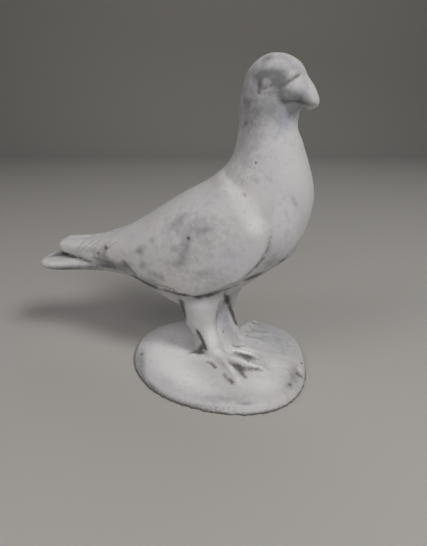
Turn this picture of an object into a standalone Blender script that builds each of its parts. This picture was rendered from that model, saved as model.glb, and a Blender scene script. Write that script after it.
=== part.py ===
# A plaster dove on a low domed base, cast in one piece.
# Metres, +Z up, +X towards the beak. The origin is on the flat underside, below the bird's middle plane.

import math

import bmesh
import bpy
import numpy as np
from mathutils import Vector

# Driving sizes, in metres
BIRD_HEIGHT = 0.168  # from the ground between the feet to the crown
BASE_RADIUS = 0.0550
BASE_CENTRE = (-0.0003, 0.0004)
BASE_RIM_HEIGHT = 0.0055
BASE_RIM_ROUND = 0.0022
BASE_RIM_DRAFT = 0.0012  # how far the rim leans in towards its top
BASE_CROWN = 0.0065  # rise of the ground from the rim to the middle
TOE_RADIUS = 0.0032
TOE_TIP_RADIUS = 0.0019
TOE_KNUCKLES = 0.10  # swelling at its joints, as a share of the toe's radius
TOE_ROUNDED = 0.15  # share of the toe's length that is rounded off

# The base is an uneven round: how many times it swells, by what share of its radius, and the bearing
# of one of those swellings
BASE_LOBES = (
    (2, 0.050, math.radians(-10)),
    (3, 0.045, math.radians(54)),
    (4, 0.028, math.radians(-36)),
)

# Everything below is a share of the bird's height, measured forward from the origin, out from the
# middle plane and up from the ground.

# Sections of tail root, trunk, neck and skull: back x, back z, front x, front z, half width
TRUNK = (
    (-0.536, 0.352, -0.525, 0.298, 0.054),
    (-0.364, 0.420, -0.321, 0.262, 0.107),
    (-0.268, 0.475, -0.220, 0.210, 0.134),
    (-0.180, 0.532, -0.120, 0.166, 0.152),
    (-0.105, 0.584, 0.000, 0.203, 0.166),
    (-0.011, 0.656, 0.182, 0.336, 0.161),
    (0.011, 0.676, 0.255, 0.411, 0.152),
    (0.036, 0.719, 0.297, 0.582, 0.125),
    (0.049, 0.796, 0.253, 0.737, 0.094),
    (0.049, 0.839, 0.230, 0.802, 0.088),
    (0.063, 0.929, 0.249, 0.909, 0.088),
    (0.087, 0.969, 0.238, 0.959, 0.073),
    (0.123, 0.992, 0.204, 0.987, 0.043),
    (0.157, 0.999, 0.170, 0.998, 0.010),
)

# Sections of the beak, from inside the face to the tip, in the same order
BEAK = (
    (0.204, 0.952, 0.177, 0.845, 0.072),
    (0.238, 0.943, 0.210, 0.839, 0.060),
    (0.258, 0.926, 0.236, 0.839, 0.048),
    (0.275, 0.903, 0.258, 0.841, 0.036),
    (0.287, 0.878, 0.274, 0.843, 0.024),
    (0.290, 0.861, 0.284, 0.845, 0.012),
)

# Sections of a folded wing, from its tip to its bend: x, then out and up for the top edge, for the
# fullest part and for the lower edge
WING = (
    (-0.609, -0.004, 0.385, 0.038, 0.376, 0.038, 0.354),
    (-0.594, -0.006, 0.393, 0.055, 0.379, 0.054, 0.349),
    (-0.536, -0.006, 0.398, 0.068, 0.380, 0.066, 0.341),
    (-0.482, -0.006, 0.405, 0.080, 0.382, 0.076, 0.333),
    (-0.418, -0.005, 0.423, 0.096, 0.388, 0.089, 0.334),
    (-0.350, -0.004, 0.451, 0.115, 0.391, 0.103, 0.327),
    (-0.268, -0.004, 0.496, 0.139, 0.397, 0.120, 0.300),
    (-0.182, -0.004, 0.552, 0.164, 0.407, 0.138, 0.267),
    (-0.107, -0.002, 0.595, 0.178, 0.418, 0.148, 0.256),
    (-0.032, 0.000, 0.634, 0.185, 0.443, 0.154, 0.274),
    (0.032, 0.050, 0.655, 0.184, 0.458, 0.161, 0.306),
    (0.086, 0.122, 0.618, 0.178, 0.470, 0.161, 0.338),
    (0.129, 0.145, 0.578, 0.166, 0.475, 0.158, 0.379),
    (0.158, 0.148, 0.523, 0.156, 0.475, 0.152, 0.428),
    (0.170, 0.142, 0.486, 0.146, 0.474, 0.144, 0.460),
)
WING_LIP = 0.022  # how far the wing's lower edge stands out over what is under it
WING_LIP_RISE = WING_LIP / 5  # how far its under side rises behind that edge
WING_INNER_RISE = WING_LIP / 3  # and at the wing's inner side

# Sections of the tail, from under the wings to its end: x, middle height, half width, half thickness
TAIL = (
    (-0.364, 0.338, 0.080, 0.056),
    (-0.450, 0.319, 0.076, 0.0320),
    (-0.530, 0.309, 0.078, 0.0240),
    (-0.600, 0.302, 0.081, 0.0225),
    (-0.655, 0.301, 0.078, 0.0190),
    (-0.676, 0.302, 0.068, 0.0155),
    (-0.686, 0.302, 0.050, 0.0090),
)
TAIL_SQUARENESS = 0.5  # 1 gives oval sections and less gives squarer ones
WEB_SQUARENESS = 0.5

# Level sections of a leg, from inside the belly to the foot: height, x, half length, half width
LEG = (
    (0.300, -0.058, 0.086, 0.066),
    (0.218, -0.062, 0.080, 0.060),
    (0.175, -0.064, 0.067, 0.050),
    (0.122, -0.063, 0.056, 0.042),
    (0.084, -0.049, 0.046, 0.036),
    (0.046, -0.032, 0.038, 0.032),
    (0.004, -0.016, 0.036, 0.032),
    (-0.030, -0.006, 0.044, 0.038),
)
RIGHT_LEG = (0.0, -0.070)  # x and y of the leg on the bird's right
LEFT_LEG = (0.043, 0.082)

# Level sections of the web of plaster that joins the legs: height, x from, x to
WEB = (
    (0.260, -0.110, -0.006),
    (0.150, -0.100, 0.008),
    (0.090, -0.098, 0.016),
    (0.045, -0.098, 0.036),
    (0.000, -0.104, 0.066),
    (-0.030, -0.110, 0.082),
)

# Toes of each foot as x and y of the root and of the tip, and how far the toe's middle line stands out
# of the ground at its root, as a share of its radius
RIGHT_TOES = (
    ((0.000, -0.082), (0.104, -0.194), 0.60),
    ((0.000, -0.085), (0.182, -0.116), 0.60),
    ((0.000, -0.046), (0.150, -0.048), 0.60),
    ((-0.020, -0.075), (-0.108, -0.080), 0.05),
)
LEFT_TOES = (
    ((0.040, 0.095), (0.098, 0.280), 0.45),
    ((0.040, 0.095), (0.190, 0.165), -0.60),
    ((0.040, 0.080), (0.180, 0.070), -0.60),
    ((0.020, 0.090), (-0.060, 0.100), 0.10),
)
TOE_SINKING = 0.6  # share of that height lost by the tip

# Marks are carved from the side: they fade where the surface faces sideways by less than 1 part in this
SIDE_FADE = 2

# Marks carved in the side of the head, as x and z
FACE_GROOVE = (
    (0.235, 0.934),
    (0.204, 0.915),
    (0.176, 0.895),
    (0.176, 0.878),
    (0.185, 0.860),
    (0.196, 0.848),
)
FACE_GROOVE_DEPTH = 0.0085
FACE_GROOVE_WIDTH = 0.0060
MOUTH = ((0.190, 0.856), (0.213, 0.860), (0.238, 0.858), (0.262, 0.853), (0.284, 0.847))
MOUTH_DEPTH = 0.0060
MOUTH_WIDTH = 0.0060

# The eye: a ball between lids in a shallow socket
EYE = (0.134, 0.909)
EYE_LENGTH = 1.15  # its length for a height of 1
EYE_RADIUS = 0.0170
EYE_RISE = 0.0045
EYE_RING_DEPTH = 0.0032
EYE_LID_RADIUS = 0.0250
EYE_LID_RISE = 0.0014
EYE_LINE_WIDTH = 0.0052
EYE_SOCKET_RADIUS = 0.042
EYE_SOCKET_DEPTH = 0.0060

# The front edge of each folded wing, as x and z
WING_EDGE = (
    (0.016, 0.656),
    (0.070, 0.624),
    (0.115, 0.585),
    (0.150, 0.541),
    (0.170, 0.490),
    (0.173, 0.452),
    (0.163, 0.416),
    (0.135, 0.378),
    (0.100, 0.338),
)
WING_EDGE_DEPTH = 0.0075
WING_EDGE_WIDTH = 0.0110
WING_EDGE_RISE = 0.0035
WING_EDGE_INSET = 0.024  # how far behind the groove the wing is fullest

# Quill lines near each wing's tip, from the first line's top end
QUILLS = 6
QUILL_FROM = (-0.535, 0.412)
QUILL_STEP = (0.030, 0.004)
QUILL_SLANT = 0.055  # how far a line leans back on its way down
QUILL_BEND = (0.60, 0.45)  # shares of its lean and of its drop where it turns downwards
QUILL_DROP = 0.052
QUILL_DROP_STEP = 0.006
QUILL_DEPTH = 0.0032
QUILL_WIDTH = 0.0055
QUILL_ABOVE = 0.335

# Groove between the folded wings
MIDLINE_FROM = -0.28
MIDLINE_ABOVE = 0.36
MIDLINE_FADE = 0.12
MIDLINE_DEPTH = 0.0090
MIDLINE_WIDTH = 0.0075

AROUND = 36  # points round a section
BETWEEN = 5  # sections made from each given one to the next
GRAIN = 0.0052  # size of the fused mesh
SOFTENING = 4
HEAD_FROM = 0.80  # above this the mesh is made twice as fine
FACES = 9400  # triangles kept in the finished solid
SHADED_SMOOTH_BELOW = math.radians(50)

PLASTER_COLOUR = (0.60, 0.59, 0.58, 1)
PLASTER_ROUGHNESS = 0.85


def clear_scene():
    for thing in list(bpy.data.objects):
        bpy.data.objects.remove(thing)


def smooth_rows(rows, steps=BETWEEN):
    """Rows between the given ones, on a curve that passes through each of them."""
    rows = [np.array(row) for row in rows]
    padded = [2 * rows[0] - rows[1], *rows, 2 * rows[-1] - rows[-2]]
    made = []
    for a, b, c, d in zip(padded, padded[1:], padded[2:], padded[3:]):
        for step in range(steps):
            t = step / steps
            pull = (c - a) * t + (2 * a - 5 * b + 4 * c - d) * t**2 + (3 * b - a - 3 * c + d) * t**3
            made.append(b + pull / 2)
    return made + [rows[-1]]


def place(x, y, z):
    """A point given in shares of the bird's height, standing on the ground."""
    return Vector((x, y, z)) * BIRD_HEIGHT + Vector((0, 0, BASE_RIM_HEIGHT + BASE_CROWN))


def loft(bm, rings):
    """A closed skin over rings of points, with both ends filled."""
    loops = []
    for ring in rings:
        verts = [bm.verts.new(point) for point in ring]
        loops.append([bm.edges.new(pair) for pair in zip(verts, verts[1:] + verts[:1])])
    skin = []
    for low, high in zip(loops, loops[1:]):
        skin += bmesh.ops.bridge_loops(bm, edges=low + high)["faces"]
    for end in (loops[0], loops[-1]):
        skin += bmesh.ops.contextual_create(bm, geom=end)["faces"]
    bmesh.ops.recalc_face_normals(bm, faces=skin)


def turns(count=AROUND):
    return [2 * math.pi * i / count for i in range(count)]


def squared(value, squareness):
    """A sine or cosine pushed out towards the corners of a square."""
    return math.copysign(abs(value) ** squareness, value)


def section(back_x, back_z, front_x, front_z, half_width):
    """An oval ring across the body from a point of its back to a point of its front."""
    back = Vector((back_x, 0, back_z))
    front = Vector((front_x, 0, front_z))
    middle = (back + front) / 2
    ring = []
    for turn in turns():
        point = middle + (back - middle) * math.cos(turn)
        ring.append(place(point.x, half_width * math.sin(turn), point.z))
    return ring


def body_parts(bm):
    for rows in (TRUNK, BEAK):
        loft(bm, [section(*row) for row in smooth_rows(rows)])


def wing_ring(side, x, top_y, top_z, full_y, full_z, low_y, low_z):
    """A wing's section: arcs from its top edge to its fullest part and on to its lower edge, then inside."""
    quarter = turns()[: AROUND // 4 + 1]
    ring = []
    for a in quarter:
        ring.append((top_y + (full_y - top_y) * math.sin(a), full_z + (top_z - full_z) * math.cos(a)))
    for a in quarter[1:]:
        ring.append((low_y + (full_y - low_y) * math.cos(a), full_z + (low_z - full_z) * math.sin(a)))
    inner = min(top_y, 0)
    ring.append((low_y - WING_LIP, low_z + WING_LIP_RISE))
    ring.append((inner, low_z + WING_INNER_RISE))
    ring.append((inner, (low_z + top_z) / 2))
    return [place(x, side * y, z) for y, z in ring]


def wings(bm):
    for side in (-1, 1):
        loft(bm, [wing_ring(side, *row) for row in smooth_rows(WING)])


def tail(bm):
    rings = []
    for x, middle_z, half_width, half_thickness in smooth_rows(TAIL):
        ring = []
        for turn in turns():
            out = half_width * squared(math.cos(turn), TAIL_SQUARENESS)
            up = half_thickness * squared(math.sin(turn), TAIL_SQUARENESS)
            ring.append(place(x, out, middle_z + up))
        rings.append(ring)
    loft(bm, rings)


def legs(bm):
    for leg_x, leg_y in (RIGHT_LEG, LEFT_LEG):
        rings = []
        for z, x, half_length, half_width in smooth_rows(LEG):
            rings.append([
                place(leg_x + x + half_length * math.cos(turn), leg_y + half_width * math.sin(turn), z)
                for turn in turns()
            ])
        loft(bm, rings)


def web(bm):
    near_y = RIGHT_LEG[1] + LEG[-1][3] / 2
    far_y = LEFT_LEG[1] - LEG[-1][3] / 2
    half_y = (far_y - near_y) / 2
    rings = []
    for z, from_x, to_x in smooth_rows(WEB):
        half_x = (to_x - from_x) / 2
        ring = []
        for turn in turns():
            forward = half_x * squared(math.cos(turn), WEB_SQUARENESS)
            out = half_y * squared(math.sin(turn), WEB_SQUARENESS)
            ring.append(place(from_x + half_x + forward, near_y + half_y + out, z))
        rings.append(ring)
    loft(bm, rings)


def base_reach(turn):
    """Distance from the middle of the base to its edge."""
    return BASE_RADIUS * (1 + sum(share * math.cos(lobes * (turn - at)) for lobes, share, at in BASE_LOBES))


def ground(x, y):
    """Height of the domed ground at a place on the base."""
    x -= BASE_CENTRE[0]
    y -= BASE_CENTRE[1]
    share = math.hypot(x, y) / (base_reach(math.atan2(y, x)) - BASE_RIM_DRAFT)
    return BASE_RIM_HEIGHT + BASE_CROWN * (1 - min(share, 1) ** 2)


def base_ring(inset, share, height):
    """A ring round the base, set in from its edge; the ground's own height where none is given."""
    ring = []
    for turn in turns(2 * AROUND):
        reach = (base_reach(turn) - inset) * share
        x = BASE_CENTRE[0] + reach * math.cos(turn)
        y = BASE_CENTRE[1] + reach * math.sin(turn)
        ring.append(Vector((x, y, ground(x, y) if height is None else height)))
    return ring


def base(bm):
    rings = [base_ring(0, 1, -BASE_RIM_HEIGHT), base_ring(0, 1, 0)]
    wall = BASE_RIM_HEIGHT - BASE_RIM_ROUND
    for bend in turns(4 * BETWEEN)[: BETWEEN + 1]:
        inset = BASE_RIM_DRAFT + BASE_RIM_ROUND * (1 - math.cos(bend))
        rings.append(base_ring(inset, 1, wall + BASE_RIM_ROUND * math.sin(bend)))
    rings += [base_ring(BASE_RIM_DRAFT, 1 - i / AROUND, None) for i in range(1, AROUND)][BETWEEN::BETWEEN]
    loft(bm, rings)


def toe(bm, root, tip, stand):
    """A tapered toe lying half in the ground, with a rounded end."""
    root = place(*root, 0)
    tip = place(*tip, 0)
    across = Vector((root.y - tip.y, tip.x - root.x, 0)).normalized()
    rings = []
    for i in range(AROUND):
        share = i / AROUND
        past = max(share - 1 + TOE_ROUNDED, 0) / TOE_ROUNDED
        middle = root.lerp(tip, share)
        middle.z = ground(middle.x, middle.y) + TOE_RADIUS * stand * (1 - share * TOE_SINKING)
        radius = TOE_RADIUS + (TOE_TIP_RADIUS - TOE_RADIUS) * share
        radius *= (1 + TOE_KNUCKLES * math.cos(share * 4 * math.pi)) * math.sqrt(1 - past**2)
        rings.append([
            middle + across * radius * math.cos(turn) + Vector((0, 0, radius * math.sin(turn)))
            for turn in turns()
        ])
    loft(bm, rings)


def feet(bm):
    for root, tip, stand in RIGHT_TOES + LEFT_TOES:
        toe(bm, root, tip, stand)


def with_modifier(thing, kind, **settings):
    """The object's mesh after one modifier, kept in place of the old one."""
    modifier = thing.modifiers.new(kind.title(), kind)
    for name, value in settings.items():
        setattr(modifier, name, value)
    shaped = thing.evaluated_get(bpy.context.evaluated_depsgraph_get())
    mesh = bpy.data.meshes.new_from_object(shaped)
    thing.modifiers.clear()
    thing.data = mesh


def reshape(thing, change):
    bm = bmesh.new()
    bm.from_mesh(thing.data)
    change(bm)
    bm.to_mesh(thing.data)
    bm.free()


def soften(bm):
    for _ in range(SOFTENING):
        bmesh.ops.smooth_vert(
            bm, verts=bm.verts, factor=0.5, use_axis_x=True, use_axis_y=True, use_axis_z=True)


def refine_head(bm):
    level = place(0, 0, HEAD_FROM).z
    edges = [edge for edge in bm.edges if min(vert.co.z for vert in edge.verts) > level]
    bmesh.ops.subdivide_edges(bm, edges=edges, cuts=1, use_grid_fill=True)


def line_distance(points, line):
    """How far each side-view point is from a curve through the line's points."""
    path = np.array(smooth_rows(line, 2 * BETWEEN))
    gaps = points[:, None, :] - path[None, :, :]
    return np.hypot(gaps[:, :, 0], gaps[:, :, 1]).min(axis=1)


def side_view(verts):
    """Points in shares of the bird's height, and how squarely each one faces sideways."""
    middle = place(0, 0, 0)
    points = np.array([(vert.co.x / BIRD_HEIGHT, (vert.co.z - middle.z) / BIRD_HEIGHT) for vert in verts])
    facing = np.array([min(abs(vert.normal.y) * SIDE_FADE, 1) for vert in verts])
    return points, facing


def sink(verts, amounts):
    """Moves each point in along its normal by a share of the bird's height."""
    for vert, amount in zip(verts, amounts):
        vert.co -= vert.normal * float(amount) * BIRD_HEIGHT


def hump(gap, width):
    """1 on a line, fading to 0 away from it."""
    return np.exp(-((gap / width) ** 2))


def carve_groove(bm, line, depth, width, within):
    bm.normal_update()
    verts = [vert for vert in bm.verts if within(vert.co)]
    points, facing = side_view(verts)
    sink(verts, depth * hump(line_distance(points, line), width) * facing)


def in_head(co):
    return co.z > place(0, 0, HEAD_FROM).z


def carve_eye(bm):
    bm.normal_update()
    verts = [vert for vert in bm.verts if in_head(vert.co)]
    points, facing = side_view(verts)
    gap = np.hypot((points[:, 0] - EYE[0]) / EYE_LENGTH, points[:, 1] - EYE[1])
    depth = EYE_SOCKET_DEPTH * hump(gap**2, EYE_SOCKET_RADIUS**2)
    depth += EYE_RING_DEPTH * hump(gap - EYE_RADIUS, EYE_LINE_WIDTH)
    depth -= EYE_LID_RISE * hump(gap - EYE_LID_RADIUS, EYE_LINE_WIDTH)
    depth -= EYE_RISE * np.clip(1 - (gap / EYE_RADIUS) ** 2, 0, 1)
    sink(verts, depth * facing)


def carve_face(bm):
    carve_groove(bm, FACE_GROOVE, FACE_GROOVE_DEPTH, FACE_GROOVE_WIDTH, in_head)
    carve_groove(bm, MOUTH, MOUTH_DEPTH, MOUTH_WIDTH, in_head)
    carve_eye(bm)


def in_trunk(co):
    return place(0, 0, WING_EDGE[-1][1] / 2).z < co.z < place(0, 0, HEAD_FROM).z


def carve_wing_edges(bm):
    """A groove in front of each wing's edge, and the swelling of the wing behind it."""
    carve_groove(bm, WING_EDGE, WING_EDGE_DEPTH, WING_EDGE_WIDTH, in_trunk)
    behind = tuple((x - WING_EDGE_INSET, z) for x, z in WING_EDGE)
    carve_groove(bm, behind, -WING_EDGE_RISE, WING_EDGE_INSET, in_trunk)


def in_wing_tips(co):
    return co.z > place(0, 0, QUILL_ABOVE).z and co.x < 0


def carve_quills(bm):
    for i in range(QUILLS):
        x = QUILL_FROM[0] + i * QUILL_STEP[0]
        z = QUILL_FROM[1] + i * QUILL_STEP[1]
        drop = QUILL_DROP + i * QUILL_DROP_STEP
        bend = (x - QUILL_SLANT * QUILL_BEND[0], z - drop * QUILL_BEND[1])
        line = ((x, z), bend, (x - QUILL_SLANT, z - drop))
        carve_groove(bm, line, QUILL_DEPTH, QUILL_WIDTH, in_wing_tips)


def carve_midline(bm):
    """The groove where the two folded wings meet on the rump."""
    bm.normal_update()
    for vert in bm.verts:
        x = vert.co.x / BIRD_HEIGHT
        if x < MIDLINE_FROM and vert.normal.z > 0 and vert.co.z > place(0, 0, MIDLINE_ABOVE).z:
            fade = min((MIDLINE_FROM - x) / MIDLINE_FADE, 1)
            depth = MIDLINE_DEPTH * fade * hump(vert.co.y / BIRD_HEIGHT, MIDLINE_WIDTH)
            vert.co.z -= BIRD_HEIGHT * float(depth)


def trim_underside(bm):
    """Cuts the base flat and closes the cut."""
    everything = bm.verts[:] + bm.edges[:] + bm.faces[:]
    up = (0, 0, 1)
    cut = bmesh.ops.bisect_plane(bm, geom=everything, plane_co=(0, 0, 0), plane_no=up, clear_inner=True)
    rim = [part for part in cut["geom_cut"] if isinstance(part, bmesh.types.BMEdge)]
    bmesh.ops.contextual_create(bm, geom=rim)
    bmesh.ops.recalc_face_normals(bm, faces=bm.faces)


def plaster():
    material = bpy.data.materials.new("white_plaster")
    material.use_nodes = True
    shader = material.node_tree.nodes["Principled BSDF"]
    shader.inputs["Base Color"].default_value = PLASTER_COLOUR
    shader.inputs["Roughness"].default_value = PLASTER_ROUGHNESS
    shader.inputs["Metallic"].default_value = 0.0
    return material


def build():
    clear_scene()
    bm = bmesh.new()
    for shape in (body_parts, wings, tail, legs, web, feet, base):
        shape(bm)
    mesh = bpy.data.meshes.new("dove")
    bm.to_mesh(mesh)
    bm.free()
    dove = bpy.data.objects.new("dove", mesh)
    bpy.context.scene.collection.objects.link(dove)
    with_modifier(dove, "REMESH", mode="VOXEL", voxel_size=GRAIN * BIRD_HEIGHT, adaptivity=0)
    reshape(dove, soften)
    reshape(dove, refine_head)
    reshape(dove, carve_face)
    reshape(dove, carve_wing_edges)
    reshape(dove, carve_quills)
    reshape(dove, carve_midline)
    triangles = sum(len(face.vertices) - 2 for face in dove.data.polygons)
    with_modifier(dove, "DECIMATE", ratio=FACES / triangles)
    reshape(dove, trim_underside)
    dove.data.materials.clear()
    dove.data.materials.append(plaster())
    dove.data.shade_smooth()
    dove.data.set_sharp_from_angle(angle=SHADED_SMOOTH_BELOW)


build()
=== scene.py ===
# A small plaster dove on a domed base, cast in one piece, seen from its right side.

import math
import random

import bmesh
import bpy
import numpy as np
from mathutils import Matrix, Vector, noise
from mathutils.bvhtree import BVHTree
from mathutils.kdtree import KDTree


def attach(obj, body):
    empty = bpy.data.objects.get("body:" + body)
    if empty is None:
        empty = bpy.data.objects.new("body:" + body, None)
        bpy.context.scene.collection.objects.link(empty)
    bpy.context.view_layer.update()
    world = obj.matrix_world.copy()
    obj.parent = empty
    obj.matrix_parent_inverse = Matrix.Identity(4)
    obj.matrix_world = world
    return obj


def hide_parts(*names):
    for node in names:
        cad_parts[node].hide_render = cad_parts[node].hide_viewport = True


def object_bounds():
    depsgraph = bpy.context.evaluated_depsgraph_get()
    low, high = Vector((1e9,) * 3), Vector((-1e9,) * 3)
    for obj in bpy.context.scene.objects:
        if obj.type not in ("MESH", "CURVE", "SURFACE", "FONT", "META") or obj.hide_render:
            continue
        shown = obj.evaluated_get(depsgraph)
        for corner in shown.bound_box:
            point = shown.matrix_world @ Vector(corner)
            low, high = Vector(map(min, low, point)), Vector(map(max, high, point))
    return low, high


mm = 0.001

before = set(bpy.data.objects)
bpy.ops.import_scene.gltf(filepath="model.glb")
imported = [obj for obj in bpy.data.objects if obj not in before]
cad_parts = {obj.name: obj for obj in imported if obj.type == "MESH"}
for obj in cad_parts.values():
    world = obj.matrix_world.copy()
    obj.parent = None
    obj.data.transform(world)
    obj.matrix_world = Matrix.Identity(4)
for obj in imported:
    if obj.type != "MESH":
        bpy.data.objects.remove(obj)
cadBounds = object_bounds()
print("frame loaded")


# Camera

cameraView = {
    "imageSize": (427, 546),  # pixels
    "focalPixels": 440,
    "lookDown": 21.5,  # degrees
    "towardsBeak": 12,  # degrees round from square on to the bird's right side
    "place": (0.0457, -0.2411, 0.1581),
    "sensor": 36,  # mm, along the picture's longer side
    "nearest": 0.01,  # m
}


def cameraAxes():
    down = math.radians(cameraView["lookDown"])
    around = math.radians(cameraView["towardsBeak"])
    level = math.cos(down)
    forward = Vector((-math.sin(around) * level, math.cos(around) * level, -math.sin(down)))
    right = Vector((math.cos(around), math.sin(around), 0))
    return right, right.cross(forward), forward


def pixelDirection(pixel):
    right, up, forward = cameraAxes()
    width, height = cameraView["imageSize"]
    across = pixel[0] - width / 2
    rise = height / 2 - pixel[1]
    return (forward * cameraView["focalPixels"] + right * across + up * rise).normalized()


def addCamera():
    right, up, forward = cameraAxes()
    data = bpy.data.cameras.new("camera")
    data.sensor_width = cameraView["sensor"]
    data.lens = cameraView["focalPixels"] / max(cameraView["imageSize"]) * cameraView["sensor"]
    data.clip_start = cameraView["nearest"]
    camera = bpy.data.objects.new("camera", data)
    turned = Matrix((right, up, -forward)).transposed().to_4x4()
    camera.matrix_world = Matrix.Translation(cameraView["place"]) @ turned
    bpy.context.scene.collection.objects.link(camera)
    bpy.context.scene.camera = camera


addCamera()
print("camera placed")


# The casting's surface: an even copy of the solid without its facets, then finer where it is carved

castingSurface = {
    "grain": 1.14,  # mm, the size of the mesh before the carved places are made finer
    "weldWithin": 0.001,  # mm, to join the corners of the solid's faces
    "softenAll": 3,  # rounds of smoothing everywhere
    "softenFlat": 18,  # more rounds where the surface is nearly flat
    "flatWithin": 0.055,  # how bent a place may be and still be smoothed as flat, as a share of the grain
    "keepSharp": 3,  # how firmly the places beside a sharp one are kept
    "lineStep": 0.35,  # mm between the points of a carved line
    "fineAbove": 143,  # mm from the table: the head is made finer all over
    "fineReach": 2.4,  # mm round each carved line
    "fineEvery": 3,  # every third point of a line is enough to look from
    "smoothFresh": 2,  # rounds of smoothing for the corners that are added there
    "unevenness": ((14, 0.16), (5, 0.05)),  # mm: how wide and how high the hand-made swells are
    "flatBelow": 1,  # mm from the table, where those swells end
    "rimDirtAndPaintedShadow": 1.7,  # mm from the table: a dark band round the base's foot, partly dirt and partly painted contact shadow
}

# Lines worked into the plaster. Their points are pixels of the photograph, and each line lies where
# those pixels meet the surface. Depth and width are in mm, and a negative depth stands out. Their
# grime is dirt, and along the gaps under the wings, behind the near leg and under the wing tips it is
# painted shade as well. Those in the first group are on both sides of the bird.
pairedLines = {
    "cereCrease": {
        "pixels": [(302, 73.5), (291, 80.5), (283, 86.5), (279.5, 89.5)],
        "depth": 0.4,
        "width": 0.6,
        "grimeAndPaintedShade": 0.6,
    },
    "cereBack": {
        "pixels": [(279.5, 90), (279.5, 95), (281, 100), (284, 104)],
        "depth": 0.25,
        "width": 0.7,
        "grimeAndPaintedShade": 0.35,
    },
    "mouth": {
        "pixels": [(284.5, 103.5), (290, 102.5), (296, 102.3), (302, 103.2), (308, 104.8), (315, 106.3)],
        "depth": 0.35,
        "width": 0.6,
        "grimeAndPaintedShade": 0.45,
    },
    "lidFold": {
        "pixels": [(257.5, 91), (259.5, 93.5), (264, 94.8), (269, 94), (271.5, 91.5)],
        "depth": 0.22,
        "width": 0.55,
        "grimeAndPaintedShade": 0.25,
    },
    "lowerLid": {
        "pixels": [(259, 89.5), (263, 91), (268, 91), (271, 88.5)],
        "depth": -0.2,
        "width": 0.6,
        "grimeAndPaintedShade": -0.2,
    },
    "wingFront": {
        "pixels": [
            (222, 177),
            (231, 182),
            (236, 188),
            (243, 195),
            (250, 204),
            (256, 212),
            (261, 219),
            (264.5, 227),
            (267, 236),
        ],
        "depth": 0.18,
        "width": 0.9,
        "grimeAndPaintedShade": 0.06,
    },
    "wingLip": {
        "pixels": [(270, 234), (269.5, 241), (268, 248), (265, 256)],
        "depth": 0.3,
        "width": 0.9,
        "grimeAndPaintedShade": 0.4,
    },
    "wingFold": {
        "pixels": [(264.5, 256), (262, 260), (256, 266.5), (250, 272), (246, 277)],
        "depth": 0.35,
        "width": 0.6,
        "grimeAndPaintedShade": 0.6,
    },
    # this line and the next five, under the wing's lower edge, are darkened by dirt and by painted shade
    # under the wing
    "wingUnderFront": {
        "pixels": [(240, 283), (232, 287.5), (222, 290.5), (212, 294), (205, 296)],
        "depth": 0.3,
        "width": 1.0,
        "grimeAndPaintedShade": 0.55,
    },
    "wingUnder": {
        "pixels": [(205, 296), (196, 296.8), (188, 296.5), (180, 295), (170, 292), (160, 289)],
        "depth": 0.35,
        "width": 1.1,
        "grimeAndPaintedShade": 0.65,
    },
    "wingUnderTwin": {
        "pixels": [(152, 283), (160, 285.5), (170, 288.5), (178, 292)],
        "depth": 0.2,
        "width": 0.7,
        "grimeAndPaintedShade": 0.35,
    },
    "wingUnderBack": {
        "pixels": [(160, 289), (148, 284), (138, 278.5), (129, 274)],
        "depth": 0.3,
        "width": 1.5,
        "grimeAndPaintedShade": 0.8,
    },
    "wingUnderTip": {
        "pixels": [(129, 274), (122, 269.5), (110, 267), (98, 264.5)],
        "depth": 0.2,
        "width": 1.5,
        "grimeAndPaintedShade": 0.45,
    },
    "wingBackFold": {
        "pixels": [(120.5, 259), (124, 263), (128, 267.5), (133, 272), (138, 277)],
        "depth": 0.3,
        "width": 1.2,
        "grimeAndPaintedShade": 0.55,
    },
    # dirt and a painted shadow in the gap between the wing tips and the tail
    "tipGap": {
        "pixels": [(60.5, 250.5), (64, 253), (68, 255), (73, 257), (80, 258.5), (88, 261.5), (97, 264)],
        "depth": 0.3,
        "width": 1.0,
        "grimeAndPaintedShade": 0.7,
    },
    "tipStreak": {
        "pixels": [(96, 253), (103, 256), (110, 258.5)],
        "depth": 0.15,
        "width": 0.9,
        "grimeAndPaintedShade": 0.3,
    },
    "tipStreakLow": {
        "pixels": [(92, 257.5), (100, 260), (108, 262.5), (114, 264)],
        "depth": 0.15,
        "width": 1.1,
        "grimeAndPaintedShade": 0.4,
    },
}
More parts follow.
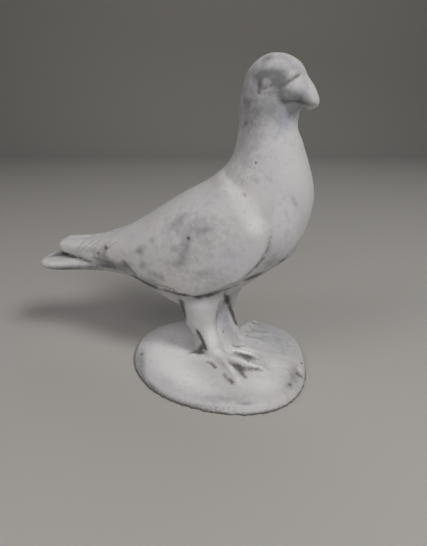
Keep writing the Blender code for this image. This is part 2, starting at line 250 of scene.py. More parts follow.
otherLines = {
    "breastSeam": {
        "pixels": [(292, 250), (289, 254), (283, 260), (275, 266), (268, 270)],
        "depth": 0.25,
        "width": 0.7,
        "grimeAndPaintedShade": 0.4,
    },
    "breastSeamLow": {
        "pixels": [(264, 272), (258, 275), (251, 278), (242, 282)],
        "depth": 0.3,
        "width": 1.4,
        "grimeAndPaintedShade": 0.6,
    },
    "rumpLine": {
        "pixels": [(90, 236.5), (97, 234.7), (104, 233), (110, 231.6), (117, 231)],
        "depth": 0.2,
        "width": 0.5,
        "grimeAndPaintedShade": 0.4,
    },
    "tailEdge": {
        "pixels": [(59, 252), (54, 255), (48, 256.7)],
        "depth": 0.1,
        "width": 0.5,
        "grimeAndPaintedShade": 0.5,
    },
    "tailEnd": {
        "pixels": [(41, 260.5), (47.5, 260.5)],
        "depth": 0.1,
        "width": 0.5,
        "grimeAndPaintedShade": 0.4,
    },
    "webGroove": {
        "pixels": [
            (226, 291),
            (225, 295),
            (227.5, 302),
            (230, 308),
            (233.5, 316),
            (236.5, 323),
            (239.5, 327),
        ],
        "depth": 0.8,
        "width": 1.0,
        "grimeAndPaintedShade": 0.8,
    },
    # dirt and the near leg's painted shade on the web
    "webNear": {
        "pixels": [(222, 298), (219.5, 306), (217.5, 314), (216.5, 322)],
        "depth": 0.4,
        "width": 1.1,
        "grimeAndPaintedShade": 0.45,
    },
    # dirt and painted shade in the strip behind the near thigh
    "thighBack": {
        "pixels": [(182, 299), (183, 308), (185.5, 320)],
        "depth": 0.3,
        "width": 1.6,
        "grimeAndPaintedShade": 0.5,
    },
    # dirt and painted shade in the recess behind the shank
    "shankWedge": {
        "pixels": [(195, 329), (199, 335), (202, 341), (204.5, 347), (205.5, 352)],
        "depth": 0.9,
        "width": 1.0,
        "grimeAndPaintedShade": 1.0,
    },
    "hallux": {
        "pixels": [(187, 353.5), (192, 352), (198, 352.5), (205, 353)],
        "depth": 0.5,
        "width": 0.7,
        "grimeAndPaintedShade": 0.6,
    },
    "toeLineHigh": {
        "pixels": [(231, 344), (235, 346.2), (238.5, 346.5), (242, 345.8), (247, 346)],
        "depth": 0.4,
        "width": 0.6,
        "grimeAndPaintedShade": 0.55,
    },
    "toeGapInner": {
        "pixels": [(232, 353), (238, 354.5), (244, 356), (250, 358), (257, 359)],
        "depth": 1.0,
        "width": 1.1,
        "grimeAndPaintedShade": 0.3,
    },
    "toeGapMiddle": {
        "pixels": [(226, 359.5), (231, 363), (236, 366.5), (243, 368.5), (254, 369), (265, 370.5)],
        "depth": 1.0,
        "width": 1.1,
        "grimeAndPaintedShade": 0.3,
    },
    "toeGapOuter": {
        "pixels": [(237, 368), (241, 372), (244, 375.5), (247.5, 378.5)],
        "depth": 0.7,
        "width": 0.8,
        "grimeAndPaintedShade": 0.4,
    },
    "middleToeEdge": {
        "pixels": [(256, 358.5), (262, 360.5), (268, 365)],
        "depth": 0.2,
        "width": 0.5,
        "grimeAndPaintedShade": 0.3,
    },
    "outerToeSide": {
        "pixels": [(205, 361), (210, 363), (214, 366), (217, 368.5)],
        "depth": 0.4,
        "width": 0.9,
        "grimeAndPaintedShade": 0.5,
    },
    "outerToeEnd": {
        "pixels": [(225, 376), (228, 379.5), (234, 383.5)],
        "depth": 0.4,
        "width": 1.2,
        "grimeAndPaintedShade": 0.2,
    },
    "farToeLine": {
        "pixels": [(250.5, 322), (256, 323.5), (262, 325)],
        "depth": 0.3,
        "width": 0.7,
        "grimeAndPaintedShade": 0.6,
    },
    "rimLine": {
        "pixels": [
            (138, 366),
            (143.4, 379),
            (150.4, 385.5),
            (160.4, 393),
            (172.4, 399),
            (188.4, 404),
            (206.4, 407),
            (228.4, 408.5),
            (248, 405.5),
        ],
        "depth": 0.22,
        "width": 0.9,
        "grimeAndPaintedShade": 0.25,
    },
    "rimCrack": {
        "pixels": [(295.5, 372), (299.5, 375.5), (303.5, 378)],
        "depth": 0.5,
        "width": 1.1,
        "grimeAndPaintedShade": 0.6,
    },
    "rimRidge": {
        "pixels": [(296, 366.5), (300, 369), (303, 372.5)],
        "depth": -0.25,
        "width": 1.0,
        "grimeAndPaintedShade": -0.3,
    },
    "rimScar": {
        "pixels": [(286, 367), (291, 374), (291.5, 381), (288, 388)],
        "depth": 0.2,
        "width": 0.9,
        "grimeAndPaintedShade": 0.3,
    },
    "poolEdge": {
        "pixels": [(248, 349), (262, 352.5), (275, 354.5), (287, 356.5), (298, 362)],
        "depth": -0.35,
        "width": 2.6,
        "grimeAndPaintedShade": -0.1,
    },
}

# Quills scratched in each wing's tip, worked out from the first one
quillLines = {
    "first": [(91, 237), (83, 242), (77, 248), (74.5, 254)],
    "step": (5.6, 0.7),  # pixels from each to the next
    "count": 6,
    "depth": 0.3,
    "width": 0.8,
    "grimeAndPaintedShade": 0.3,
}

# How a line fades
lineFade = {
    "endsRise": 6,  # it has its full depth after about a sixth of its length
    "atEnds": 0.15,  # share of its depth at its very ends
    "reach": 4,  # times its width
    "darkening": ((0.6, 1.2), (0.4, 2.4)),  # shares of its grime and painted shade, and how wide each lies in the line's widths
}

# Pinholes, dents and chips: pixel, radius and depth in mm, grime
pits = {
    "wingPinhole": ((188, 239), 0.85, 1.1, 0.95),
    "neckPinhole": ((255.5, 163), 0.5, 0.7, 0.9),
    "napePinhole": ((245.5, 123.5), 0.7, 0.2, 0.4),
    "webPinhole": ((223.5, 331.5), 0.6, 0.5, 0.8),
    "webPinholeLow": ((225.5, 338), 0.5, 0.3, 0.5),
    "eyeCorner": ((258.2, 92.5), 0.6, 0.25, 0.55),
    "eyeFront": ((271.5, 86), 0.7, 0.2, 0.4),
    "eyeLow": ((269.5, 94), 0.6, 0.2, 0.3),
    "rimChipLeft": ((141.5, 354), 1.1, 0.7, 0.8),
    "rimChipBack": ((137, 347), 0.8, 0.4, 0.7),
    "rimSpotRight": ((306, 356), 0.8, 0.3, 0.9),
    "rimDent": ((233, 413), 1.5, 0.6, -0.3),
    "farFootSpot": ((249.5, 326), 0.7, 0.3, 0.7),
    "farFootSide": ((253, 329.5), 0.8, 0.3, 0.6),
    "farFootLow": ((247.5, 335), 0.6, 0.3, 0.7),
    "farFootEnd": ((257, 343), 0.6, 0.2, 0.4),
    "wingNick": ((105.5, 248), 0.9, 0.35, 0.75),
    "baseSpotRight": ((290, 384.5), 0.7, 0.3, 0.6),
    "baseSpotLeft": ((178, 390), 0.5, 0.2, 0.35),
}

# Air bubbles on the sides that the photograph doesn't show
hiddenPinholes = {
    "count": 26,
    "seed": 11,
    "radius": (0.35, 0.7),  # mm
    "across": (0.55, 1),  # share of the casting's width, from its right to its left
    "grimeAndPaintedShade": 0.8,
}
pitFade = {
    "reach": 3,  # times the pit's radius
    "darkening": 1.3,  # how wide its dirt lies, also in radii
}


# A smooth line through the points
def longLine(points):
    made = []
    spacing = castingSurface["lineStep"] * mm
    padded = [points[0] * 2 - points[1], *points, points[-1] * 2 - points[-2]]
    for a, b, c, d in zip(padded, padded[1:], padded[2:], padded[3:]):
        steps = max(int((c - b).length / spacing), 1)
        for step in range(steps):
            t = step / steps
            pull = (c - a) * t + (2 * a - 5 * b + 4 * c - d) * t**2 + (3 * b - a - 3 * c + d) * t**3
            made.append(b + pull / 2)
    return made + [points[-1]]


def onSurface(skin, pixel):
    eye = Vector(cameraView["place"])
    along = pixelDirection(pixel)
    place = skin.ray_cast(eye, along)[0]
    if place is None:  # just off the outline, so the nearest of the surface
        place = skin.find_nearest(eye - along * eye.y / along.y)[0]
    return place


def mirrored(skin, place):
    return skin.find_nearest(Vector((place.x, -place.y, place.z)))[0]


def gatherLines(skin):
    quills = []
    for number in range(quillLines["count"]):
        shift = Vector(quillLines["step"]) * number
        quills.append(dict(quillLines, pixels=[Vector(pixel) + shift for pixel in quillLines["first"]]))
    lines = []
    for facts in [*pairedLines.values(), *quills]:
        places = [onSurface(skin, pixel) for pixel in facts["pixels"]]
        lines.append((longLine(places), facts))
        lines.append((longLine([mirrored(skin, place) for place in places]), facts))
    for facts in otherLines.values():
        lines.append((longLine([onSurface(skin, pixel) for pixel in facts["pixels"]]), facts))
    return lines


def gatherPits(skin):
    made = [(onSurface(skin, pixel), *facts) for pixel, *facts in pits.values()]
    chance = random.Random(hiddenPinholes["seed"])
    low, high = (Vector(corner) for corner in cadBounds)
    for _ in range(hiddenPinholes["count"]):
        share = Vector((chance.random(), chance.uniform(*hiddenPinholes["across"]), chance.random()))
        place = skin.find_nearest(low + Vector(a * b for a, b in zip(share, high - low)))[0]
        radius = chance.uniform(*hiddenPinholes["radius"])
        if place.y > 0:
            made.append((place, radius, radius, hiddenPinholes["grimeAndPaintedShade"]))
    return made


def replaceMesh(thing):
    graph = bpy.context.evaluated_depsgraph_get()
    mesh = bpy.data.meshes.new_from_object(thing.evaluated_get(graph))
    thing.modifiers.clear()
    thing.data = mesh


# An even mesh over a copy of the solid
def castingMesh():
    bm = bmesh.new()
    bm.from_mesh(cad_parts["dove"].data)
    bmesh.ops.remove_doubles(bm, verts=bm.verts, dist=castingSurface["weldWithin"] * mm)
    mesh = bpy.data.meshes.new("plasterDove")
    bm.to_mesh(mesh)
    bm.free()
    dove = bpy.data.objects.new("plasterDove", mesh)
    bpy.context.scene.collection.objects.link(dove)
    remesh = dove.modifiers.new("remesh", "REMESH")
    remesh.mode = "VOXEL"
    remesh.voxel_size = castingSurface["grain"] * mm
    replaceMesh(dove)
    return dove


def meshArrays(mesh):
    places = np.empty(len(mesh.vertices) * 3)
    normals = np.empty(len(mesh.vertices) * 3)
    ends = np.empty(len(mesh.edges) * 2, dtype=np.int64)
    mesh.vertices.foreach_get("co", places)
    mesh.vertices.foreach_get("normal", normals)
    mesh.edges.foreach_get("vertices", ends)
    return places.reshape(-1, 3), normals.reshape(-1, 3), ends.reshape(-1, 2)


def neighbourMean(ends, values):
    count = len(values)
    one, other = ends.T
    total = np.bincount(one, values[other], count) + np.bincount(other, values[one], count)
    return total / np.maximum(np.bincount(ends.ravel(), minlength=count), 1)


def meanPlaces(ends, places):
    return np.stack([neighbourMean(ends, places[:, axis]) for axis in range(3)], axis=1)


def eased(places, ends, weight, times):
    for _ in range(times):
        places = places + weight[:, None] * (meanPlaces(ends, places) - places) / 2
    return places


# Smooths the facets of the solid away, and gives back what that shrinks
def softened(mesh):
    places, normals, ends = meshArrays(mesh)
    weight = np.ones(len(places))
    for times in (castingSurface["softenAll"], castingSurface["softenFlat"]):
        soft = eased(places, ends, weight, times)
        places = soft + eased(places - soft, ends, weight, times)
        bent = np.abs(((meanPlaces(ends, places) - places) * normals).sum(axis=1))
        sharp = (bent > castingSurface["flatWithin"] * castingSurface["grain"] * mm).astype(float)
        spread = neighbourMean(ends, neighbourMean(ends, sharp))
        weight = 1 - np.clip(castingSurface["keepSharp"] * spread, 0, 1)
    mesh.vertices.foreach_set("co", places.ravel())
    mesh.update()


def searchTree(places):
    tree = KDTree(len(places))
    for index, place in enumerate(places):
        tree.insert(place, index)
    tree.balance()
    return tree


# Halves the edges of the mesh on the head and wherever something is carved
def refined(mesh, lines, holes):
    tree = searchTree([vert.co for vert in mesh.vertices])
    reach = castingSurface["fineReach"] * mm
    fine = {vert.index for vert in mesh.vertices if vert.co.z > castingSurface["fineAbove"] * mm}
    for line, _ in lines:
        for place in line[:: castingSurface["fineEvery"]]:
            fine |= {index for _, index, _ in tree.find_range(place, reach)}
    for hole in holes:
        fine |= {index for _, index, _ in tree.find_range(hole[0], reach)}
    bm = bmesh.new()
    bm.from_mesh(mesh)
    edges = [edge for edge in bm.edges if all(vert.index in fine for vert in edge.verts)]
    made = bmesh.ops.subdivide_edges(bm, edges=edges, cuts=1, use_grid_fill=True)
    fresh = [part for part in made["geom"] if isinstance(part, bmesh.types.BMVert)]
    for _ in range(castingSurface["smoothFresh"]):
        bmesh.ops.smooth_vert(
            bm, verts=fresh, factor=0.5, use_axis_x=True, use_axis_y=True, use_axis_z=True
        )
    bm.to_mesh(mesh)
    bm.free()


def hump(gap, width):
    return np.exp(-((gap / width) ** 2))


# Each eye is a low ball in a ringed socket. Sizes are in mm across the head's side.
eyeShape = {
    "pixel": (265, 83.5),
    "oval": 1.1,  # its length to its height
    "ballRadius": 2.2,
    "ballRise": 0.05,
    "ringWidth": 0.5,
    "ringDepth": 0.22,
    "ringGrime": 0.3,
}


def carveEyes(places, eyePlace, depth, grimeAndPaintedShade):
    right, up, _ = cameraAxes()
    for side in (1, -1):
        seen = places * (1, side, 1)
        away = seen - eyePlace
        gap = np.hypot(away @ right / eyeShape["oval"], away @ up) / mm
        near = seen[:, 1] < 0
        ball = np.clip(1 - (gap / eyeShape["ballRadius"]) ** 2, 0, 1) * near
        ring = hump(gap - eyeShape["ballRadius"] - eyeShape["ringWidth"], eyeShape["ringWidth"]) * near
        depth += (ring * eyeShape["ringDepth"] - ball * eyeShape["ballRise"]) * mm
        grimeAndPaintedShade += ring * eyeShape["ringGrime"]


# Moves the surface in along its normals, and gives back how dark each place is made: grime, painted shade
# in the gaps and a painted contact shadow round the base's foot
def carve(mesh, lines, holes, eyePlace):
    places, normals, _ = meshArrays(mesh)
    tree = searchTree(places)
    depth = np.zeros(len(places))
    grimeAndPaintedShade = np.zeros(len(places))
    for line, facts in lines:
        width = facts["width"] * mm
        reach = width * lineFade["reach"]
        nearest = {}
        for step, place in enumerate(line):
            for _, index, gap in tree.find_range(place, reach):
                if gap < nearest.get(index, (reach,))[0]:
                    nearest[index] = (gap, step / (len(line) - 1))
        found = np.fromiter(nearest.keys(), dtype=np.int64)
        gap, along = np.array(list(nearest.values())).T
        taper = np.clip(np.minimum(along, 1 - along) * lineFade["endsRise"] + lineFade["atEnds"], 0, 1)
        lineDark = sum(share * hump(gap, width * spread) for share, spread in lineFade["darkening"])
        depth[found] += facts["depth"] * mm * hump(gap, width) * taper
        grimeAndPaintedShade[found] += facts["grimeAndPaintedShade"] * lineDark * taper
    for place, radius, sink, darkening in holes:
        for _, index, gap in tree.find_range(place, radius * mm * pitFade["reach"]):
            depth[index] += sink * mm * hump(gap, radius * mm)
            grimeAndPaintedShade[index] += darkening * hump(gap, radius * mm * pitFade["darkening"])
    carveEyes(places, eyePlace, depth, grimeAndPaintedShade)
    for size, height in castingSurface["unevenness"]:
        swell = np.array([noise.noise(Vector(place) / (size * mm)) for place in places])
        depth += swell * height * mm * np.clip(places[:, 2] / mm - castingSurface["flatBelow"], 0, 1)
    carved = np.clip(places - normals * depth[:, None], *cadBounds)
    mesh.vertices.foreach_set("co", carved.ravel())
    mesh.update()
    # a dark band round the base's foot: dirt and a painted contact shadow
    grimeAndPaintedShade += hump(places[:, 2], castingSurface["rimDirtAndPaintedShadow"] * mm)
    return grimeAndPaintedShade


# Patches on the plaster. Each one: pixel, half length and half height in pixels, turn in degrees,
# strength. Grey patches are partly handling and partly painted shade, dark ones are partly packed dirt
# and partly painted shadow in gaps, rubbed ones are mostly painted light with a few real chips and
# scratches, and cool ones are painted cool shade. Patches on the bird's body are on both of its
# sides, and fainter on its left.
patches = {
    "greyAndPaintedShade": [
        ((269, 72.5), 12, 3.5, 0, 1.0),
        ((260, 77), 5, 6, 0, 0.5),
        ((279, 79.5), 6.5, 5, 20, 1.5),
        ((266, 84), 10, 9, 0, 0.7),
        ((259.5, 85), 2, 6, 0, 0.7),
        ((281, 93), 6, 9, 0, 0.9),
        ((292, 98), 10, 6, -20, 1.0),
        ((303, 99), 9, 5, -15, 0.9),
        # the next two: painted shade under the beak and jaw
        ((292, 104.5), 9, 3, 0, 0.8),
        ((292, 111), 7, 6, 0, 1.3),
        ((268, 58), 6, 4, 30, 0.6),
        ((258, 68), 8, 6, 50, 0.5),
        ((285, 62), 24, 14, -20, 0.5),
        # painted shadow of the head on the cheek and upper neck
        ((265, 106), 22, 13, -10, 0.9),
        # painted shade on the nape
        ((247, 96), 8, 30, 5, 0.6),
        ((245.5, 124), 2.5, 2.5, 0, 0.6),
        # the next three: painted shade down the neck's left and lower side
        ((258, 132), 18, 16, 0, 0.34),
        ((246, 152), 10, 24, -15, 0.34),
        ((256, 174), 18, 12, 0, 0.22),
        ((175, 224), 9, 6, 40, 0.52),
        ((181, 217), 5, 3, 30, 0.4),
        ((204, 230), 4, 5, 0, 0.32),
        ((196, 228), 22, 10, 0, 0.35),
        ((152, 239), 4, 4, 0, 0.5),
        ((140, 250), 5, 4.5, 0, 0.95),
        ((187, 246), 4, 9, -5, 0.62),
        ((183, 256), 4, 8, 0, 0.55),
        ((175, 249), 3.5, 3.5, 0, 0.7),
        ((176, 264), 14, 5, 5, 0.5),
        ((142, 265.5), 4, 4, 20, 0.75),
        # the next two: painted shade under the wing's lower edge
        ((157, 276), 11, 4, -22, 0.75),
        ((150, 281), 9, 3, -28, 0.75),
        ((205, 275), 16, 5, 5, 0.5),
        ((216, 283), 22, 6, 12, 0.3),
        ((196, 240), 42, 30, 0, 0.3),
        ((126, 266), 6, 5, -45, 0.8),
        ((107, 262), 14, 4, -12, 0.9),
        ((97, 254), 10, 4, -20, 0.45),
        ((105, 247), 2.5, 5, 0, 0.7),
        ((76, 253), 12, 3, -30, 0.4),
        # the next two: painted shade along the tail's lower side
        ((88, 267.5), 34, 2.6, 2, 1.1),
        ((60, 268.5), 16, 2, 0, 0.8),
        ((125, 275), 9, 3, -25, 0.9),
        ((56, 255), 6, 1.6, 15, 0.5),
        ((294.5, 202), 2.6, 6, 30, 0.6),
        ((286.5, 214), 2, 5, 20, 0.4),
        ((245, 195.5), 1.8, 3, 20, 0.7),
        ((270, 262), 10, 5, 50, 0.4),
        ((296, 246), 8, 3, 55, 0.35),
        # the next two: the near leg's painted shadow on the web, and painted shade on the web
        ((221, 309), 3.2, 12, -14, 0.8),
        ((230, 303), 5, 10, 15, 0.5),
        ((141, 363), 4.5, 11, 20, 0.95),
        ((152, 386), 10, 3, -38, 0.5),
        # painted shade on the base behind the legs
        ((172, 339), 9, 4, 5, 0.15),
        ((192, 344), 8, 3, -20, 0.4),
        # the next two: painted shade on the base's far slope
        ((268, 337), 26, 8, -14, 0.22),
        ((287, 349), 14, 5, -20, 0.12),
        ((295, 376), 5, 9, -20, 0.7),
        ((288, 386), 6, 4, 40, 0.5),
        # the next three: dirt and a painted contact shadow low on the base's rim
        ((245, 403.5), 6, 1.5, 0, 0.9),
        ((212, 398), 16, 3, -3, 0.3),
        ((235, 398), 30, 4, 3, 0.25),
        ((168, 380), 12, 4, -20, 0.25),
        ((218, 347), 8, 5, 0, 0.2),
    ],
    "darkAndPaintedShadow": [
        ((258.8, 82), 1.3, 5, 0, 0.3),
        ((244, 355.8), 11, 2.4, -14, 0.42),
        ((249, 357.5), 5, 2.4, -10, 0.3),
        ((235, 364.5), 9, 2.6, -35, 0.45),
        ((240, 366.5), 5, 2.2, -20, 0.3),
        ((252, 368.8), 12, 1.5, -4, 0.35),
        ((243, 373.5), 5, 1.6, -50, 0.3),
        ((214, 365.5), 4, 1.5, -40, 0.3),
        ((228.5, 379), 5, 2.6, -40, 0.35),
        ((224.5, 375), 1.6, 1.6, 0, 0.5),
        ((233, 383), 3, 1.6, -30, 0.4),
        # dirt and painted shade in the recess behind the shank
        ((201.5, 347), 2.6, 6, -15, 0.65),
        ((196, 351), 5, 1.4, 0, 0.35),
        # dirt and a painted shadow in the gap under the wing tips
        ((65, 253.5), 4.5, 2, -30, 0.5),
        # the next four: dirt and painted shade along the wing's lower edge
        ((206, 295.5), 9, 2.2, 8, 0.5),
        ((184, 295), 8, 2, -5, 0.4),
        ((150, 285.5), 14, 2.2, -28, 0.4),
        ((122, 272), 10, 2, -25, 0.15),
        # the next three: painted shade, with some dirt, on the web and in the strip behind the near thigh
        ((227, 297), 3, 7, 15, 0.7),
        ((233, 314), 1.8, 9, 20, 0.4),
        ((182.5, 309), 2.2, 11, 12, 0.8),
        ((254, 276.3), 8, 1.8, 25, 0.4),
        ((282.5, 260), 3.5, 1.4, 40, 0.5),
        ((298, 372.5), 5, 2, -30, 0.3),
    ],
    "rubbedAndPaintedLight": [
        # the next three: a painted highlight band on the wing's shoulder
        ((242, 212), 27, 10, -56, 0.55),
        ((254, 227), 9, 9, 0, 0.4),
        ((222, 188), 12, 7, -20, 0.3),
        ((165, 252), 9, 8, 0, 0.3),
        ((145, 232), 10, 7, 0, 0.25),
        # the next two: painted light on the near thigh and shank
        ((200, 308), 15, 12, 0, 0.7),
        ((213, 338), 8, 17, 10, 1.0),
        # the next four: painted light on the near foot's toes
        ((240, 345), 14, 6, 0, 0.4),
        ((246, 350), 14, 1.8, -6, 0.7),
        ((246, 362.5), 15, 1.8, -18, 0.8),
        ((231, 369), 11, 2, -52, 0.7),
        # the next four: painted light on the base's top, which also lifts the bird's shadow there
        ((170, 346), 28, 18, 0, 1.1),
        ((190, 380), 32, 10, -15, 0.75),
        ((262, 382), 24, 10, 0, 0.7),
        ((277, 364), 16, 5, -15, 0.5),
        # a real chip, whiter than the rest
        ((300, 369), 4, 2, -40, 0.5),
        # painted highlight on the far foot
        ((256, 320), 6, 1.5, 0, 0.5),
        # the next two: painted light on the tail's top
        ((75, 261.8), 10, 1.6, -4, 0.1),
        ((58, 264), 14, 3, 0, 0.5),
        # a real light mark
        ((292, 227), 2, 1.5, 0, 0.25),
        # painted light on the breast
        ((285, 220), 22, 32, 0, 0.5),
        # the last two: real light scratches
        ((287.5, 187.5), 6, 1, 40, 0.2),
        ((281, 195), 3, 1, 30, 0.2),
    ],
    "paintedCoolShade": [
        # all painted cool shade: bluish where the surface is shaded, under the head, on the thigh and web,
        # the breast's turn and the lower wing
        ((286, 121), 8, 16, -35, 1.4),
        ((272, 112), 12, 8, 0, 0.7),
        ((292, 65), 9, 5, -30, 0.7),
        ((303, 90), 6, 8, -20, 0.9),
        ((258, 82), 8, 12, 0, 0.3),
        ((200, 305), 16, 12, 0, 0.9),
        ((226, 318), 9, 14, 0, 0.9),
        ((285, 225), 18, 34, 0, 0.7),
        ((238, 262), 30, 20, 0, 0.6),
        ((130, 238), 10, 8, 0, 0.4),
        ((272, 165), 16, 26, 0, 0.5),
        ((150, 285), 20, 4, -28, 0.9),
        ((105, 266), 22, 4, -10, 0.9),
        ((270, 338), 26, 9, -12, 0.3),
    ],
}
otherSide = {
    "share": 0.6,  # of the patch's strength
    "above": 70,  # mm from the table
    "past": 2,  # mm that such a patch may reach over the bird's middle
}
patchReach = {
    "halves": 2.2,  # times its longer half
    "margin": 3,  # pixels
}


def patchField(places, skin, marks):
    right, up, _ = cameraAxes()
    field = np.zeros(len(places))
    for pixel, long, high, turn, strength in marks:
        middle = onSurface(skin, pixel)
        paired = middle.z > otherSide["above"] * mm
        scale = (middle - Vector(cameraView["place"])).length / cameraView["focalPixels"]
        cos, sin = math.cos(math.radians(turn)), math.sin(math.radians(turn))
        sides = [(1, strength)]
        if paired:
            sides.append((-1, strength * otherSide["share"]))
        for side, amount in sides:
            away = (places * (1, side, 1) - middle) / scale
            across = away @ right
            rise = away @ up
            gap = np.hypot((across * cos + rise * sin) / long, (rise * cos - across * sin) / high)
            reach = patchReach["halves"] * max(long, high) + patchReach["margin"]
            near = np.linalg.norm(away, axis=1) < reach
            if paired:
                near = near & (places[:, 1] * side < otherSide["past"] * mm)
            field += amount * np.exp(-(gap**2)) * near
    return field


# Dust also settles in every hollow of the surface
hollowDust = {
    "rounds": 3,  # of smoothing over what is only roughness
    "gain": 4,  # dust for each step of hollowness
    "least": 0.3,  # what is taken off, so that shallow hollows stay clean
    "most": 0.3,
}


def settledDust(mesh):
    places, normals, ends = meshArrays(mesh)
    reach = np.linalg.norm(places[ends[:, 0]] - places[ends[:, 1]], axis=1).mean()
    hollow = ((meanPlaces(ends, places) - places) * normals).sum(axis=1) / reach
    for _ in range(hollowDust["rounds"]):
        hollow = neighbourMean(ends, hollow)
    return np.clip(hollow * hollowDust["gain"] - hollowDust["least"], 0, hollowDust["most"])


dove = castingMesh()
softened(dove.data)
print("casting copied:", len(dove.data.vertices), "vertices")
skin = BVHTree.FromObject(dove, bpy.context.evaluated_depsgraph_get())
lines = gatherLines(skin)
holes = gatherPits(skin)
refined(dove.data, lines, holes)
grimeAndPaintedShade = carve(dove.data, lines, holes, onSurface(skin, eyeShape["pixel"]))
print("casting carved:", sum(len(face.vertices) - 2 for face in dove.data.polygons), "triangles")

layerOrder = ("darkAndPaintedShadow", "greyAndPaintedShade", "rubbedAndPaintedLight", "paintedCoolShade")  # red, green, blue and alpha of the attribute
layerMost = 1.5
castingPlaces = meshArrays(dove.data)[0]
stainAndPaintedLight = dove.data.attributes.new("stainAndPaintedLight", "FLOAT_COLOR", "POINT")
stainAndPaintedLightLayers = np.stack([patchField(castingPlaces, skin, patches[kind]) for kind in layerOrder], axis=1)
stainAndPaintedLightLayers[:, 0] += grimeAndPaintedShade + settledDust(dove.data)
stainAndPaintedLight.data.foreach_set("color", np.clip(stainAndPaintedLightLayers, 0, layerMost).ravel())
dove.data.shade_smooth()
print("casting stained")


# Materials

def linearColour(text):
    parts = [int(text[i : i + 2], 16) / 255 for i in (1, 3, 5)]
    return (*[part / 12.92 if part <= 0.04045 else ((part + 0.055) / 1.055) ** 2.4 for part in parts], 1)


# Settings are a node's own properties or its inputs; an input that shares its name goes by number
def addNode(tree, kind, settings=None, links=None):
    node = tree.nodes.new(kind)
    for name, value in (settings or {}).items():
        if isinstance(name, str) and hasattr(node, name):
            setattr(node, name, value)
        else:
            node.inputs[name].default_value = value
    for name, source in (links or {}).items():
        tree.links.new(source, node.inputs[name])
    return node


# Cast gypsum plaster, poured in a mould and left bare: chalky and matte, cool white where it is
# clean, greyed where it has been handled, and brown to black where dust has packed into its hollows.
# Its grey, dark and bluish tints also paint shade and shadow, and its rubbed white also paints light.
castPlaster = {
    "clean": "#cac9c9",
    "warm": "#c2bab3",
    "paintedCoolShade": "#a7a9ba",
    "rubbedAndPaintedLight": "#ebebea",
    "greyedAndPaintedShade": "#6a6b6e",
    "dustyAndPaintedShade": "#6e6967",
    "packedDirtAndPaintedShadow": "#423e3e",
    "roughness": 0.88,
    "handledRoughness": 0.74,
    "specular": 0.3,
    "toolHeight": 0.22,  # mm
    "grainHeight": 0.05,
}

# Clouds that vary it: size in mm, detail, roughness
plasterClouds = {
    "tone": (34, 2, 0.5),
    "mottle": (3.6, 5, 0.62),
    "speck": (1.4, 4, 0.65),
    "grain": (0.6, 2, 0.5),  # the real grain is a tenth of this: drawn as fine as it shows
    "tool": (4, 3, 0.55),
}

# Its tints from the lowest to the one on top: what it follows, the cloud that breaks it up and how
# much, from and to which value it comes up, and the most of it
plasterTints = {
    "warm": ("tone", None, 0, 0.50, 0.75, 0.35),
    "paintedCoolShade": ("Alpha", "tone", 0.5, 0.10, 1.30, 0.65),
    "rubbedAndPaintedLight": ("Blue", "mottle", 0.9, 0.25, 0.90, 0.85),
    "greyedAndPaintedShade": ("Green", "mottle", 1.4, 0.08, 1.35, 0.88),
    "dustyAndPaintedShade": ("Red", "speck", 1.1, 0.15, 0.75, 0.95),
    "packedDirtAndPaintedShadow": ("Red", "speck", 1.0, 0.80, 1.50, 0.9),
}


def plasterMaterial():
    material = bpy.data.materials.new("castPlaster")
    material.use_nodes = True
    tree = material.node_tree
    shader = tree.nodes["Principled BSDF"]
    place = addNode(tree, "ShaderNodeTexCoord").outputs["Object"]
    stainAndPaintedLightLayers = addNode(tree, "ShaderNodeAttribute", {"attribute_name": "stainAndPaintedLight"})
    kinds = addNode(tree, "ShaderNodeSeparateColor", {}, {"Color": stainAndPaintedLightLayers.outputs["Color"]}).outputs

    clouds = {}
    for name, (size, detail, rough) in plasterClouds.items():
        settings = {"Scale": 1 / (size * mm), "Detail": detail, "Roughness": rough}
        clouds[name] = addNode(tree, "ShaderNodeTexNoise", settings, {"Vector": place}).outputs["Fac"]
    followed = {
        "Red": kinds["Red"],
        "Green": kinds["Green"],
        "Blue": kinds["Blue"],
        "Alpha": stainAndPaintedLightLayers.outputs["Alpha"],
        "tone": clouds["tone"],
    }

    colour = addNode(tree, "ShaderNodeRGB").outputs[0]
    colour.default_value = linearColour(castPlaster["clean"])
    amounts = {}
    for tint, (source, cloud, share, low, high, most) in plasterTints.items():
        level = followed[source]
        if cloud:
            centred = addNode(tree, "ShaderNodeMath", {"operation": "SUBTRACT", 1: 0.5}, {0: clouds[cloud]})
            weighing = {"operation": "MULTIPLY", 1: share}
            weight = addNode(tree, "ShaderNodeMath", weighing, {0: centred.outputs[0]})
            both = {0: level, 1: weight.outputs[0]}
            level = addNode(tree, "ShaderNodeMath", {"operation": "ADD"}, both).outputs[0]
        limits = {"From Min": low, "From Max": high, "To Max": most}
        amounts[tint] = addNode(tree, "ShaderNodeMapRange", limits, {"Value": level}).outputs["Result"]
        settings = {"data_type": "RGBA", 7: linearColour(castPlaster[tint])}
        colour = addNode(tree, "ShaderNodeMix", settings, {0: amounts[tint], 6: colour}).outputs[2]
    tree.links.new(colour, shader.inputs["Base Color"])

    shine = {"To Min": castPlaster["roughness"], "To Max": castPlaster["handledRoughness"]}
    roughness = addNode(tree, "ShaderNodeMapRange", shine, {"Value": amounts["greyedAndPaintedShade"]})
    tree.links.new(roughness.outputs["Result"], shader.inputs["Roughness"])
    shader.inputs["Specular IOR Level"].default_value = castPlaster["specular"]

    relief = None
    for name in ("tool", "grain"):
        settings = {"Strength": 1.0, "Distance": castPlaster[name + "Height"] * mm}
        links = {"Height": clouds[name]}
        if relief:
            links["Normal"] = relief
        relief = addNode(tree, "ShaderNodeBump", settings, links).outputs["Normal"]
    tree.links.new(relief, shader.inputs["Normal"])
    return material


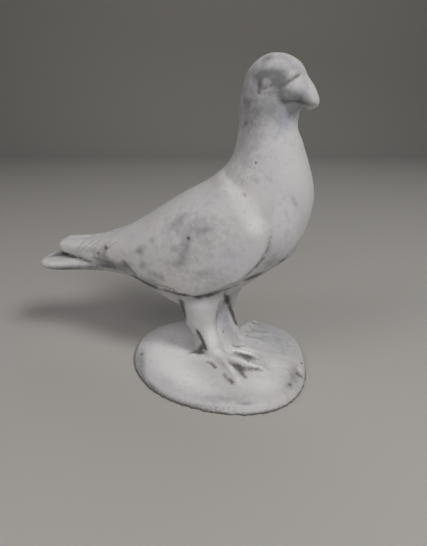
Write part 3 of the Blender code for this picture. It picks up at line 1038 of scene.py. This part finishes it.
dove.data.materials.append(plasterMaterial())
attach(dove, "root")
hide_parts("dove")
print("plaster finished")


# Floor and light

# The bird stands on matt backdrop paper, pale and without shine, which curves up behind it
studio = {
    "floorHalf": 1.6,  # m
    "bend": 0.5,  # m, the curve where the paper turns up into the wall
    "bendSteps": 16,
    "paperColour": "#b9b6b1",
    "paperRoughness": 0.9,
    "airColour": "#dcdce0",
    "airStrength": 0.04,
    "aimHeight": 0.08,  # m, the bird's middle
    "boxReach": 1.2,  # m from there
}


def addFloor():
    bm = bmesh.new()
    half = studio["floorHalf"]
    bmesh.ops.create_grid(bm, x_segments=1, y_segments=1, size=half)
    back = [edge for edge in bm.edges if all(vert.co.y > 0 for vert in edge.verts)]
    raised = bmesh.ops.extrude_edge_only(bm, edges=back)
    wall = [part for part in raised["geom"] if isinstance(part, bmesh.types.BMVert)]
    bmesh.ops.translate(bm, verts=wall, vec=(0, 0, half))
    bmesh.ops.bevel(
        bm,
        geom=back,
        offset=studio["bend"],
        segments=studio["bendSteps"],
        profile=0.5,
        affect="EDGES",
        material=-1,
    )
    turned = Matrix.Rotation(math.radians(cameraView["towardsBeak"]), 3, "Z")
    bmesh.ops.rotate(bm, verts=bm.verts, cent=(0, 0, 0), matrix=turned)
    mesh = bpy.data.meshes.new("floor")
    bm.to_mesh(mesh)
    bm.free()
    mesh.shade_smooth()
    floor = bpy.data.objects.new("floor", mesh)
    bpy.context.scene.collection.objects.link(floor)
    material = bpy.data.materials.new("paperBackdrop")
    material.use_nodes = True
    shader = material.node_tree.nodes["Principled BSDF"]
    shader.inputs["Base Color"].default_value = linearColour(studio["paperColour"])
    shader.inputs["Roughness"].default_value = studio["paperRoughness"]
    mesh.materials.append(material)


# Soft boxes: bearing and height in degrees as seen from the bird, side in metres, watts, colour
softBoxes = {
    "key": (-39, 44, 0.3, 7.9, "#fffefc"),
    "frontLeft": (-128, 41, 0.4, 1.9, "#fdfbff"),
    "lowLeft": (-150, 20, 0.8, 1.0, "#fff2ea"),
    "front": (-90, 30, 0.8, 2.1, "#fafaff"),
    "behind": (90, 50, 0.8, 1.6, "#fbfaff"),
}


def addLights():
    middle = Vector((0, 0, studio["aimHeight"]))
    for name, (bearing, height, side, watts, colour) in softBoxes.items():
        aside, up = math.radians(bearing), math.radians(height)
        away = Vector((math.cos(aside) * math.cos(up), math.sin(aside) * math.cos(up), math.sin(up)))
        data = bpy.data.lights.new(name, "AREA")
        data.shape = "SQUARE"
        data.size = side
        data.energy = watts
        data.color = linearColour(colour)[:3]
        light = bpy.data.objects.new(name, data)
        light.location = middle + away * studio["boxReach"]
        light.rotation_euler = away.to_track_quat("Z", "Y").to_euler()
        bpy.context.scene.collection.objects.link(light)
    world = bpy.data.worlds.new("studio")
    world.use_nodes = True
    background = world.node_tree.nodes["Background"]
    background.inputs["Color"].default_value = linearColour(studio["airColour"])
    background.inputs["Strength"].default_value = studio["airStrength"]
    bpy.context.scene.world = world
    bpy.context.scene.view_settings.view_transform = "Standard"


addFloor()
addLights()
print("studio lit")
